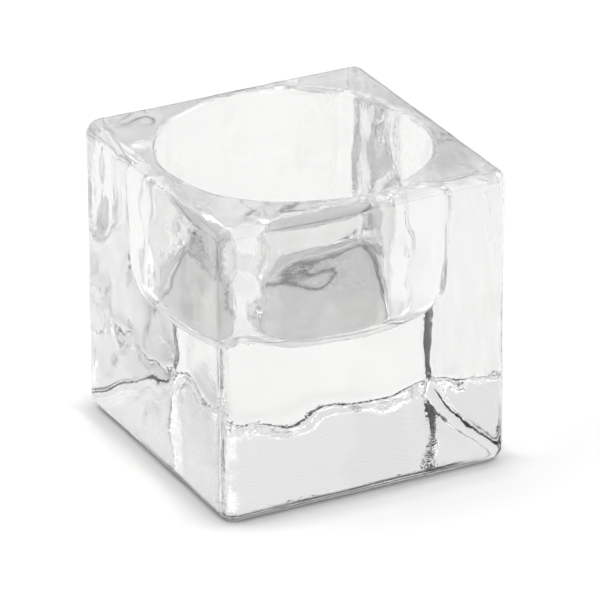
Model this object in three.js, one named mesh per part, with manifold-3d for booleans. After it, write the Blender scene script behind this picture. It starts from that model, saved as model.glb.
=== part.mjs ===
// A clear dappen dish: one square block of pressed glass with a round well sunk into its top.
// Millimetres, +Z up. The origin is the centre of the flat base, on the surface it stands on.

import * as THREE from 'three';
import { RoundedBoxGeometry } from 'three/addons/geometries/RoundedBoxGeometry.js';
import { mergeVertices } from 'three/addons/utils/BufferGeometryUtils.js';
import Module from 'manifold-3d';

const wasm = await Module();
wasm.setup();

// Driving dimensions of the block.
const blockSide = 50;
const blockHeight = 50;
const edgeRadius = 2.3;

// Driving dimensions of the well.
const rimWall = 3.5; // glass between the well and a side face, at its thinnest, on the top face
const baseThickness = 25;
const wallDraft = THREE.MathUtils.degToRad(1.5); // lets the plunger leave the glass
const floorCornerRadius = 3.5;
const lipRadius = 1.1;

// How finely the round shapes are divided.
const edgeSteps = 6;
const wellSides = 72;
const cornerSteps = 8;
const lipSteps = 6;

// The well's tool stands this far above the top face, so that the cut is open.
const cutOverrun = 5;

// Points on an arc, from one angle to the other, both ends included.
function arcPoints(centreX, centreY, radius, startAngle, endAngle, steps) {
  const arc = new THREE.EllipseCurve(
    centreX, centreY, radius, radius, startAngle, endAngle, endAngle < startAngle,
  );
  return arc.getPoints(steps);
}

// A closed geometry as a solid that can be cut, with its shared vertices merged
// and the empty triangles on a turning axis left out.
function solidFrom(geometry) {
  const bare = geometry.clone();
  bare.deleteAttribute('normal');
  bare.deleteAttribute('uv');
  const merged = mergeVertices(bare);
  const corners = merged.index.array;
  const triVerts = [];
  for (let i = 0; i < corners.length; i += 3) {
    const [a, b, c] = corners.slice(i, i + 3);
    if (a !== b && b !== c && c !== a) {
      triVerts.push(a, b, c);
    }
  }
  return new wasm.Manifold(new wasm.Mesh({
    numProp: 3,
    vertProperties: new Float32Array(merged.attributes.position.array),
    triVerts: new Uint32Array(triVerts),
  }));
}

// A cut solid as a geometry again.
function geometryFrom(solid) {
  const { vertProperties, triVerts } = solid.getMesh();
  const geometry = new THREE.BufferGeometry();
  geometry.setAttribute('position', new THREE.BufferAttribute(vertProperties, 3));
  geometry.setIndex(new THREE.BufferAttribute(triVerts, 1));
  geometry.computeVertexNormals();
  return geometry;
}

// The block before the well is pressed: every edge and corner is softly rounded.
function makeBlank() {
  const blank = new RoundedBoxGeometry(blockSide, blockSide, blockHeight, edgeSteps, edgeRadius);
  return blank.translate(0, 0, blockHeight / 2);
}

// The space that the plunger leaves: a flat floor, a rounded corner, a drafted wall
// and a lip that rolls over onto the top face.
function makeWell() {
  const rimRadius = blockSide / 2 - rimWall; // the wall's line carried up to the top face
  const lip = Math.min(lipRadius, rimWall - edgeRadius); // the roll-over stays on the flat top
  const slope = Math.tan(wallDraft);
  const quarterTurn = Math.PI / 2;

  // An arc that touches both the drafted wall and a level line has its centre this far from the wall's line.
  const reach = 1 / Math.cos(wallDraft);

  const cornerHeight = baseThickness + floorCornerRadius;
  const wallRadiusAtCorner = rimRadius - (blockHeight - cornerHeight) * slope;
  const corner = arcPoints(
    wallRadiusAtCorner - floorCornerRadius * reach, cornerHeight, floorCornerRadius,
    -quarterTurn, -wallDraft, cornerSteps,
  );

  const lipHeight = blockHeight - lip;
  const wallRadiusAtLip = rimRadius - lip * slope;
  const rollOver = arcPoints(
    wallRadiusAtLip + lip * reach, lipHeight, lip,
    Math.PI - wallDraft, quarterTurn, lipSteps,
  );

  const top = blockHeight + cutOverrun;
  const openRadius = rollOver[rollOver.length - 1].x;
  const profile = [
    new THREE.Vector2(0, baseThickness),
    ...corner,
    ...rollOver,
    new THREE.Vector2(openRadius, top),
    new THREE.Vector2(0, top),
  ];
  return new THREE.LatheGeometry(profile, wellSides).rotateX(quarterTurn);
}

const clearGlass = new THREE.MeshStandardMaterial({
  name: 'clear pressed glass',
  color: '#eef2f2',
  roughness: 0.04,
  metalness: 0,
  transparent: true,
  opacity: 0.35,
});

function makeGlassBlock() {
  const pressed = solidFrom(makeBlank()).subtract(solidFrom(makeWell()));
  const block = new THREE.Mesh(geometryFrom(pressed), clearGlass);
  block.name = 'glass_block';
  return block;
}

const dappenDish = new THREE.Group();
dappenDish.add(makeGlassBlock());

export default dappenDish;
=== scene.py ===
import math

import bmesh
import bpy
from mathutils import Matrix, Vector, noise


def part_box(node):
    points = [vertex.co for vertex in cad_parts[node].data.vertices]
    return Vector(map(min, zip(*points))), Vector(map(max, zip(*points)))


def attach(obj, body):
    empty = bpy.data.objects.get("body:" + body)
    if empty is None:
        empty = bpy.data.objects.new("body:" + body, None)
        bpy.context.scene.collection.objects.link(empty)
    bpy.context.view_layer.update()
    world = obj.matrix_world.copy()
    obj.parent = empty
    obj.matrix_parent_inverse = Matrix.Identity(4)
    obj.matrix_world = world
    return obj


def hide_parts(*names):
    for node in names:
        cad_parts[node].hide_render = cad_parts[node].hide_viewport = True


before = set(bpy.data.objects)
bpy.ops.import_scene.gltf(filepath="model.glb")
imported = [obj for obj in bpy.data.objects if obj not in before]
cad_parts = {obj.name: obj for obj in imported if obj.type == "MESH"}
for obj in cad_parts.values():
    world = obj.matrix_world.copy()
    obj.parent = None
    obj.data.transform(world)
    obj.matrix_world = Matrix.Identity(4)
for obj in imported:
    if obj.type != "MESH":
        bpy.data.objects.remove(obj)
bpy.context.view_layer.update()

scene = bpy.context.scene
mm = 0.001               # lengths are in metres, and the small ones are written as so many mm


# An sRGB hex colour as the linear numbers that shaders and lights work in, by sRGB's own curve.
def linearColor(hexCode):
    channels = [int(hexCode[i:i + 2], 16) / 255 for i in (1, 3, 5)]
    linear = [c / 12.92 if c <= 0.04045 else ((c + 0.055) / 1.055) ** 2.4 for c in channels]
    return (*linear, 1.0)


# Adds a node with its settings, and its inputs as values or as links from another node's output.
def addNode(tree, kind, settings=None, inputs=None):
    node = tree.nodes.new(kind)
    for name, value in (settings or {}).items():
        setattr(node, name, value)
    for name, value in (inputs or {}).items():
        if isinstance(value, bpy.types.NodeSocket):
            tree.links.new(value, node.inputs[name])
        else:
            node.inputs[name].default_value = value
    return node


# A direction from the object, level angle and height angle in degrees; 0, 0 points along -Y.
def direction(azimuth, elevation):
    a, e = math.radians(azimuth), math.radians(elevation)
    return Vector((math.sin(a) * math.cos(e), -math.cos(a) * math.cos(e), math.sin(e)))


# The block's and the well's sizes are read from the CAD block, so that the fine surface has the same ones.
# Points of the well's outline are (distance from the axis, height).
def readBlock(node):
    points = [v.co for v in node.data.vertices]
    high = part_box(node.name)[1]
    hair = 0.001 * mm
    places = 7            # decimal places, enough to find the points that share a height and a distance
    footTop = high.z / 4  # above the points of the lower edges and below those of the well
    top = [p for p in points if p.z > high.z - hair]
    openRadius = min(math.hypot(p.x, p.y) for p in top)
    flatHalf = max(abs(p.x) for p in top)
    inWell = {
        (round(p.z, places), round(math.hypot(p.x, p.y), places))
        for p in points
        if math.hypot(p.x, p.y) < openRadius + hair and p.z > footTop
    }
    outline = [(r, z) for z, r in sorted(inWell) if r > hair]
    gaps = [upper[1] - lower[1] for lower, upper in zip(outline, outline[1:])]
    wallStart = gaps.index(max(gaps))
    return {
        "half": high.x,
        "height": high.z,
        "round": high.x - flatHalf,
        "floor": outline[0],
        "wallFoot": outline[wallStart],
        "wallHead": outline[wallStart + 1],
        "open": (openRadius, high.z),
    }


# Radius of the arc that leaves a level line at one point and ends at another.
def arcRadius(levelEnd, otherEnd):
    across = otherEnd[0] - levelEnd[0]
    rise = abs(otherEnd[1] - levelEnd[1])
    return (across * across + rise * rise) / (2 * rise)


sizes = readBlock(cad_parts["glass_block"])
print("block read from the frame:", sizes)

block = {
    # how many quads
    "flatSteps": 80,            # along the flat of a side
    "cornerSteps": 10,          # round each upright edge
    "roundSteps": 8,            # over each level edge
    "sideRows": 80,             # up the side faces
    "wallRows": 44,             # up the well's wall
    "floorCornerRows": 10,
    "lipRows": 8,
    "topRows": 12,              # across the top face, from lip to edge
    "middleRows": 16,           # rings round a centre grid, in the well's floor and in the base

    # shape
    "uprightExtra": 0.4 * mm,   # upright edges are this much rounder than level ones
    "floorGrid": (0.55, 0.12),  # the well floor's centre grid: half side and corner, as shares of its radius
    "baseGrid": (0.5, 0.02),    # the base's centre grid, as shares of the block's half side

    # waves: from crest to crest, how high, and from which place in the noise
    "longWave": 8 * mm, "longHeight": 0.32 * mm, "longFrom": (1.7, 9.2, 3.1),         # side faces and top
    "shortWave": 4 * mm, "shortHeight": 0.045 * mm, "shortFrom": (5.3, 0.4, 8.8),
    "wallWave": 9 * mm, "wallHeight": 0.24 * mm, "wallFrom": (7.1, 2.3, 4.4),         # streaks in the well
    "bellyWave": 6.5 * mm, "bellyHeight": 0.5 * mm, "bellyFrom": (2.9, 5.5, 1.3),     # half way up it
    "dimpleWave": 2.6 * mm, "dimpleHeight": 0.05 * mm, "dimpleFrom": (6.2, 8.1, 0.7),
    "baseWave": 10 * mm, "baseHeight": 0.07 * mm, "baseFrom": (4.4, 6.1, 2.2),        # underneath
    "streakSqueeze": 0.35,      # below 1, the wall's waves are drawn out upward into streaks
    "edgeShare": 0.12,          # how much of the waves is left on the edges, which the die holds straight
    "edgeFade": 7 * mm,         # and how far from an edge they come back
    "rimFade": 4 * mm,          # width of the slope from the rim that the block stands on to the lifted base

    # glass
    "tint": "#EAEAEA",
    "ior": 1.52,
    "roughness": 0.0,
    "depthTint": "#848484",
    "depthDensity": 1.2,        # per metre; 50 mm of it takes a twentieth of the light
    "skinWave": 0.9 * mm,       # chill marks, from crest to crest
    "skinHeight": 0.009 * mm,
    "edgeSkinHeight": 0.042 * mm,      # close to the upright edges, where the glass chilled first
    "edgeSkin": (0.55, 0.95),          # where those begin and are full, as shares of the half side
    "seamHeight": 0.08 * mm,           # on the upright edges themselves, where the die's plates meet
    "seamSkin": (0.92, 0.96),
    "baseSkinHeight": 0.044 * mm,      # under the base, which the die's cold bottom plate mottles
    "baseSkin": (0.6 * mm, 1.6 * mm),  # heights up to which those are full and above which they are gone
}


# One ring round the block: a rounded square, starting on the diagonal and running anticlockwise.
def squareRing(half, corner):
    flat = half - corner
    steps, bends = block["flatSteps"], block["cornerSteps"]
    ring = []
    for quarter in range(4):
        turn = Matrix.Rotation(quarter * math.pi / 2, 2)
        for i in range(bends // 2, bends):
            a = (i / bends - 1) * math.pi / 2
            ring.append(turn @ Vector((flat + corner * math.cos(a), -flat + corner * math.sin(a))))
        for i in range(steps):
            ring.append(turn @ Vector((half, -flat + 2 * flat * i / steps)))
        for i in range(bends // 2):
            a = i / bends * math.pi / 2
            ring.append(turn @ Vector((flat + corner * math.cos(a), flat + corner * math.sin(a))))
    return ring


def ringAt(flatRing, z):
    return [Vector((p.x, p.y, z)) for p in flatRing]


def blend(ringA, ringB, t):
    return [a.lerp(b, t) for a, b in zip(ringA, ringB)]


# The rings from the well's floor, up the wall, over the lip, the top and the edges, down the sides
# and in under the base.
def blockRings():
    half, height, edge = sizes["half"], sizes["height"], sizes["round"]
    upright = edge + block["uprightExtra"]
    angles = [math.atan2(p.y, p.x) for p in squareRing(half, upright)]

    def circle(radius):
        return [Vector((radius * math.cos(a), radius * math.sin(a))) for a in angles]

    # The outline of the flat top, grown outward as it is on the way over a level edge.
    def grown(out):
        return squareRing(half - edge + out, upright - edge + out)

    rings = []
    floorRadius, floorZ = sizes["floor"]
    gridSide, gridCorner = block["floorGrid"]
    grid = squareRing(floorRadius * gridSide, floorRadius * gridCorner)
    for i in range(block["middleRows"]):
        rings.append(ringAt(blend(grid, circle(floorRadius), i / block["middleRows"]), floorZ))

    footRadius, footZ = sizes["wallFoot"]
    bend = arcRadius(sizes["floor"], sizes["wallFoot"])
    sweep = math.asin((footRadius - floorRadius) / bend)
    for i in range(block["floorCornerRows"]):
        a = sweep * i / block["floorCornerRows"]
        rings.append(ringAt(circle(floorRadius + bend * math.sin(a)), floorZ + bend * (1 - math.cos(a))))

    headRadius, headZ = sizes["wallHead"]
    for i in range(block["wallRows"]):
        t = i / block["wallRows"]
        rings.append(ringAt(circle(footRadius + (headRadius - footRadius) * t), footZ + (headZ - footZ) * t))

    openRadius = sizes["open"][0]
    roll = arcRadius(sizes["open"], sizes["wallHead"])
    sweep = math.asin((openRadius - headRadius) / roll)
    for i in range(block["lipRows"]):
        a = sweep * (1 - i / block["lipRows"])
        rings.append(ringAt(circle(openRadius - roll * math.sin(a)), height - roll * (1 - math.cos(a))))

    flatTop = grown(0)
    for i in range(block["topRows"]):
        rings.append(ringAt(blend(circle(openRadius), flatTop, i / block["topRows"]), height))

    for i in range(block["roundSteps"]):
        a = math.pi / 2 * i / block["roundSteps"]
        rings.append(ringAt(grown(edge * math.sin(a)), height - edge * (1 - math.cos(a))))
    outline = squareRing(half, upright)
    for i in range(block["sideRows"]):
        rings.append(ringAt(outline, height - edge - (height - 2 * edge) * i / block["sideRows"]))
    for i in range(block["roundSteps"]):
        a = math.pi / 2 * i / block["roundSteps"]
        rings.append(ringAt(grown(edge * math.cos(a)), edge * (1 - math.sin(a))))

    gridSide, gridCorner = block["baseGrid"]
    grid = squareRing(half * gridSide, half * gridCorner)
    for i in range(block["middleRows"] + 1):
        rings.append(ringAt(blend(flatTop, grid, i / block["middleRows"]), 0.0))
    return rings


# Fills a ring with a square grid whose lines run on from the ring's own points.
def fillGrid(bm, ring, flip):
    side = len(ring) // 4
    grid = [[None] * (side + 1) for _ in range(side + 1)]
    for i in range(side + 1):
        grid[side][i] = ring[i]                        # +X side, from -Y to +Y
        grid[side - i][side] = ring[side + i]          # +Y side
        grid[0][side - i] = ring[2 * side + i]         # -X side
        grid[i][0] = ring[(3 * side + i) % len(ring)]  # -Y side
    for u in range(1, side):
        for v in range(1, side):
            s, t = u / side, v / side
            acrossX = grid[0][v].co.lerp(grid[side][v].co, s)
            acrossY = grid[u][0].co.lerp(grid[u][side].co, t)
            low = grid[0][0].co.lerp(grid[side][0].co, s)
            high = grid[0][side].co.lerp(grid[side][side].co, s)
            grid[u][v] = bm.verts.new(acrossX + acrossY - low.lerp(high, t))
    for u in range(side):
        for v in range(side):
            corners = [grid[u][v], grid[u + 1][v], grid[u + 1][v + 1], grid[u][v + 1]]
            bm.faces.new(corners[::-1] if flip else corners)


# The whole block as one even mesh of quads.
def buildBlock():
    bm = bmesh.new()
    rings = [[bm.verts.new(p) for p in ring] for ring in blockRings()]
    for inner, outer in zip(rings, rings[1:]):
        for k in range(len(inner)):
            following = (k + 1) % len(inner)
            bm.faces.new((inner[k], outer[k], outer[following], inner[following]))
    fillGrid(bm, rings[0], flip=False)
    fillGrid(bm, rings[-1], flip=True)
    bm.normal_update()
    for face in bm.faces:
        face.smooth = True
    mesh = bpy.data.meshes.new("glass_block_fine")
    bm.to_mesh(mesh)
    bm.free()
    return mesh


# How far one kind of wave moves the glass at a point.
def wave(kind, point):
    return noise.noise(point / block[kind + "Wave"] + Vector(block[kind + "From"])) * block[kind + "Height"]


# Pressed glass is never quite flat: it is moved in and out along its own normals by long and short waves.
def rippleBlock(mesh):
    half, height = sizes["half"], sizes["height"]
    floorZ = sizes["floor"][1]
    hair = 0.01 * mm
    moves = []
    for vertex in mesh.vertices:
        p = vertex.co
        if p.z > floorZ - hair and math.hypot(p.x, p.y) < sizes["open"][0]:
            belly = math.sin(math.pi * (p.z - floorZ) / (height - floorZ))
            lift = wave("wall", Vector((p.x, p.y, p.z * block["streakSqueeze"])))
            lift += (wave("belly", p) + wave("dimple", p)) * belly
        elif p.z < hair:
            toRim = half - sizes["round"] - max(abs(p.x), abs(p.y))
            inFromRim = min(1.0, max(0.0, toRim / block["rimFade"]))
            lift = -(block["baseHeight"] / 2 + wave("base", p)) * inFromRim
        else:
            toEdge = sorted((half - abs(p.x), half - abs(p.y), height - p.z, p.z))[1]
            lift = wave("long", p) + wave("short", p)
            lift *= min(1.0, block["edgeShare"] + toEdge / block["edgeFade"])
        moves.append(vertex.normal * lift)
    for vertex, move in zip(mesh.vertices, moves):
        vertex.co += move
        vertex.co.z = max(vertex.co.z, 0.0)


# Pressed soda-lime glass: poured clear, pressed in a polished die, then flame-polished. To the eye it is
# colourless, mirror-smooth and sharp inside, with a faint shimmer where the skin chilled against the die.
def pressedSodaLimeGlass():
    material = bpy.data.materials.new("pressed soda-lime glass")
    material.use_nodes = True
    tree = material.node_tree
    tree.nodes.clear()
    place = addNode(tree, "ShaderNodeTexCoord")
    skin = addNode(tree, "ShaderNodeTexNoise", inputs={
        "Vector": place.outputs["Object"], "Scale": 1 / block["skinWave"], "Detail": 1.0,
    })
    parts = addNode(tree, "ShaderNodeSeparateXYZ", inputs={"Vector": place.outputs["Object"]})
    offX = addNode(tree, "ShaderNodeMath", {"operation": "ABSOLUTE"}, {0: parts.outputs["X"]})
    offY = addNode(tree, "ShaderNodeMath", {"operation": "ABSOLUTE"}, {0: parts.outputs["Y"]})
    nearEdge = addNode(tree, "ShaderNodeMath", {"operation": "MINIMUM"}, {
        0: offX.outputs[0], 1: offY.outputs[0],
    })
    edgeSkin = addNode(tree, "ShaderNodeMapRange", {"interpolation_type": "SMOOTHSTEP"}, {
        "Value": nearEdge.outputs[0],
        "From Min": sizes["half"] * block["edgeSkin"][0], "From Max": sizes["half"] * block["edgeSkin"][1],
        "To Min": block["skinHeight"], "To Max": block["edgeSkinHeight"],
    })
    seamSkin = addNode(tree, "ShaderNodeMapRange", {"interpolation_type": "SMOOTHSTEP"}, {
        "Value": nearEdge.outputs[0],
        "From Min": sizes["half"] * block["seamSkin"][0], "From Max": sizes["half"] * block["seamSkin"][1],
        "To Min": 0.0, "To Max": block["seamHeight"],
    })
    baseSkin = addNode(tree, "ShaderNodeMapRange", {"interpolation_type": "SMOOTHSTEP"}, {
        "Value": parts.outputs["Z"], "From Min": block["baseSkin"][0], "From Max": block["baseSkin"][1],
        "To Min": block["baseSkinHeight"], "To Max": 0.0,
    })
    edgeOrSeam = addNode(tree, "ShaderNodeMath", {"operation": "MAXIMUM"}, {
        0: edgeSkin.outputs["Result"], 1: seamSkin.outputs["Result"],
    })
    deepest = addNode(tree, "ShaderNodeMath", {"operation": "MAXIMUM"}, {
        0: edgeOrSeam.outputs[0], 1: baseSkin.outputs["Result"],
    })
    relief = addNode(tree, "ShaderNodeMath", {"operation": "MULTIPLY"}, {
        0: skin.outputs["Fac"], 1: deepest.outputs[0],
    })
    bump = addNode(tree, "ShaderNodeBump", inputs={
        "Height": relief.outputs[0], "Distance": 1.0, "Strength": 1.0,
    })
    surface = addNode(tree, "ShaderNodeBsdfPrincipled", inputs={
        "Base Color": linearColor(block["tint"]), "Transmission Weight": 1.0,
        "IOR": block["ior"], "Roughness": block["roughness"], "Normal": bump.outputs["Normal"],
    })
    depth = addNode(tree, "ShaderNodeVolumeAbsorption", inputs={
        "Color": linearColor(block["depthTint"]), "Density": block["depthDensity"],
    })
    addNode(tree, "ShaderNodeOutputMaterial", inputs={
        "Surface": surface.outputs["BSDF"], "Volume": depth.outputs["Volume"],
    })
    return material


glassMesh = buildBlock()
rippleBlock(glassMesh)
glassMesh.materials.append(pressedSodaLimeGlass())
glassBlock = bpy.data.objects.new("pressed_glass_block", glassMesh)
scene.collection.objects.link(glassBlock)
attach(glassBlock, "root")
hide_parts("glass_block")
print("glass block made:", len(glassMesh.polygons), "faces")

floorSheet = {
    "half": 3.0, "drop": 0.1 * mm,
    "contactReach": 6.5 * mm,   # how far the painted shade round the foot of the block spreads
    "contactSamples": 8,
    # painted light and shade: colour by how open the paper is to the room, from 0 straight under the block to
    # 1 well away from it
    "paintedShades": [
        (0.03, "#FCFCFC"),      # painted light under the glass, for the light that comes through it
        (0.07, "#505256"),      # painted shade in the crevice under the rounded foot
        (0.16, "#505256"),
        # painted contact shade round the foot, fading into the plain paper
        (0.34, "#C4C5C6"),
        (1.00, "#F4F4F4"),
    ],
}


# Matt white paper: uncoated and smooth. To the eye it is an even white with no shine. Painted shade darkens
# its colour softly round the foot of the block, and painted light makes it paler under the glass.
def paperWithPaintedShade():
    material = bpy.data.materials.new("matt white paper with painted shade")
    material.use_nodes = True
    tree = material.node_tree
    tree.nodes.clear()
    # painted shade and light: the paper's colour follows how closed in it is by the block, darker round the
    # foot and paler under the glass
    contact = addNode(tree, "ShaderNodeAmbientOcclusion", {"samples": floorSheet["contactSamples"]}, {
        "Distance": floorSheet["contactReach"],
    })
    shade = addNode(tree, "ShaderNodeValToRGB", inputs={"Fac": contact.outputs["AO"]})
    stops = shade.color_ramp.elements
    (firstAt, firstColor), *between, (lastAt, lastColor) = floorSheet["paintedShades"]
    stops[0].position, stops[0].color = firstAt, linearColor(firstColor)
    stops[1].position, stops[1].color = lastAt, linearColor(lastColor)
    for at, color in between:
        stops.new(at).color = linearColor(color)
    surface = addNode(tree, "ShaderNodeBsdfDiffuse", inputs={"Color": shade.outputs["Color"]})
    addNode(tree, "ShaderNodeOutputMaterial", inputs={"Surface": surface.outputs["BSDF"]})
    return material


def makeFloor():
    s, z = floorSheet["half"], -floorSheet["drop"]
    mesh = bpy.data.meshes.new("floor")
    mesh.from_pydata([(-s, -s, z), (s, -s, z), (s, s, z), (-s, s, z)], [], [(0, 1, 2, 3)])
    mesh.materials.append(paperWithPaintedShade())
    floor = bpy.data.objects.new("floor", mesh)
    scene.collection.objects.link(floor)


makeFloor()
print("floor laid")

camera = {
    "azimuth": -27.13, "elevation": 24.99, "roll": -0.38,  # degrees
    "distance": 18.39,                 # times the block's side
    "lens": 349.5, "sensorWidth": 36,  # mm
    "shiftX": 0.0093, "shiftY": -0.0189,
    "clipStart": 0.01,
}


def makeCamera():
    data = bpy.data.cameras.new("camera")
    data.lens = camera["lens"]
    data.sensor_width = camera["sensorWidth"]
    data.shift_x = camera["shiftX"]
    data.shift_y = camera["shiftY"]
    data.clip_start = camera["clipStart"]
    eye = bpy.data.objects.new("camera", data)
    scene.collection.objects.link(eye)
    back = direction(camera["azimuth"], camera["elevation"])
    eye.location = Vector((0, 0, sizes["height"] / 2)) + back * camera["distance"] * sizes["half"] * 2
    aim = (-back).to_track_quat("-Z", "Y").to_matrix() @ Matrix.Rotation(math.radians(camera["roll"]), 3, "Z")
    eye.rotation_euler = aim.to_euler()
    scene.camera = eye


makeCamera()
print("camera placed")

studio = {
    # Each lamp: azimuth, elevation, the angle that it fills, brightness, colour; angles in degrees.
    # They are far enough off to light the floor evenly.
    "lamps": {
        "left_softbox": (-117, 45, 40, 2.0, "#FFFAF4"),
        "right_softbox": (78, 33, 32, 3.0, "#FFFFFF"),
        "back_softbox": (123, 46, 40, 0.5, "#FFFFFF"),
        "overhead_softbox": (-157, 72, 40, 0.8, "#FFFFFF"),
    },
    "belowColor": "#FFFFFF",
    "wallColor": "#FFFFFF",
    "bandColor": "#12161E",            # a dark strip low on the walls, which draws the block's edges
    "bandFoot": (2, 5),                # degrees above the horizon, where the strip fades in
    "bandHead": (12, 16),              # and where it fades out
    "darkColor": "#1C1E22",            # a dark patch round the camera and to the left of it
    "darkAzimuth": -50, "darkElevation": 24,
    "darkInner": 26, "darkOuter": 34,  # degrees from its middle: it is full inside and gone outside
    "bounces": 40, "glossyBounces": 24,  # enough for light to leave the thick glass again
}

# Sockets of a Mix node that is set to colour.
mixFactor, mixA, mixB, mixResult = 0, 6, 7, 2


def makeLamps():
    for name, (azimuth, elevation, spread, brightness, color) in studio["lamps"].items():
        data = bpy.data.lights.new(name, "SUN")
        data.angle = math.radians(spread)
        data.energy = brightness * math.pi * math.sin(data.angle / 2) ** 2
        data.color = linearColor(color)[:3]
        lamp = bpy.data.objects.new(name, data)
        scene.collection.objects.link(lamp)
        lamp.rotation_euler = direction(azimuth, elevation).to_track_quat("Z", "Y").to_euler()
        lamp.visible_camera = False


# The walls all round: white, with a dark strip low down and a dark patch at the camera's side.
def makeWalls():
    world = bpy.data.worlds.new("studio walls")
    world.use_nodes = True
    scene.world = world
    tree = world.node_tree
    tree.nodes.clear()
    place = addNode(tree, "ShaderNodeTexCoord")
    parts = addNode(tree, "ShaderNodeSeparateXYZ", inputs={"Vector": place.outputs["Generated"]})
    stepIn, stepOut = (
        addNode(tree, "ShaderNodeMapRange", {"interpolation_type": "SMOOTHSTEP"}, {
            "Value": parts.outputs["Z"],
            "From Min": math.sin(math.radians(low)), "From Max": math.sin(math.radians(high)),
        })
        for low, high in (studio["bandFoot"], studio["bandHead"])
    )
    band = addNode(tree, "ShaderNodeMath", {"operation": "SUBTRACT"}, {
        0: stepIn.outputs["Result"], 1: stepOut.outputs["Result"],
    })
    wall = addNode(tree, "ShaderNodeMix", {"data_type": "RGBA"}, {
        mixFactor: band.outputs[0],
        mixA: linearColor(studio["wallColor"]), mixB: linearColor(studio["bandColor"]),
    })
    facing = addNode(tree, "ShaderNodeVectorMath", {"operation": "DOT_PRODUCT"}, {
        0: place.outputs["Generated"], 1: direction(studio["darkAzimuth"], studio["darkElevation"]),
    })
    patch = addNode(tree, "ShaderNodeMapRange", {"interpolation_type": "SMOOTHSTEP"}, {
        "Value": facing.outputs["Value"],
        "From Min": math.cos(math.radians(studio["darkOuter"])),
        "From Max": math.cos(math.radians(studio["darkInner"])),
    })
    room = addNode(tree, "ShaderNodeMix", {"data_type": "RGBA"}, {
        mixFactor: patch.outputs["Result"],
        mixA: wall.outputs[mixResult], mixB: linearColor(studio["darkColor"]),
    })
    above = addNode(tree, "ShaderNodeMath", {"operation": "GREATER_THAN"}, {0: parts.outputs["Z"], 1: 0.0})
    around = addNode(tree, "ShaderNodeMix", {"data_type": "RGBA"}, {
        mixFactor: above.outputs["Value"],
        mixA: linearColor(studio["belowColor"]), mixB: room.outputs[mixResult],
    })
    backdrop = addNode(tree, "ShaderNodeBackground", inputs={
        "Color": around.outputs[mixResult], "Strength": 1.0,
    })
    addNode(tree, "ShaderNodeOutputWorld", inputs={"Surface": backdrop.outputs["Background"]})


makeLamps()
makeWalls()
scene.view_settings.view_transform = "Standard"
scene.cycles.max_bounces = studio["bounces"]
scene.cycles.transmission_bounces = studio["bounces"]
scene.cycles.glossy_bounces = studio["glossyBounces"]
scene.cycles.blur_glossy = 0.0
print("studio lit:", len(studio["lamps"]), "lamps")
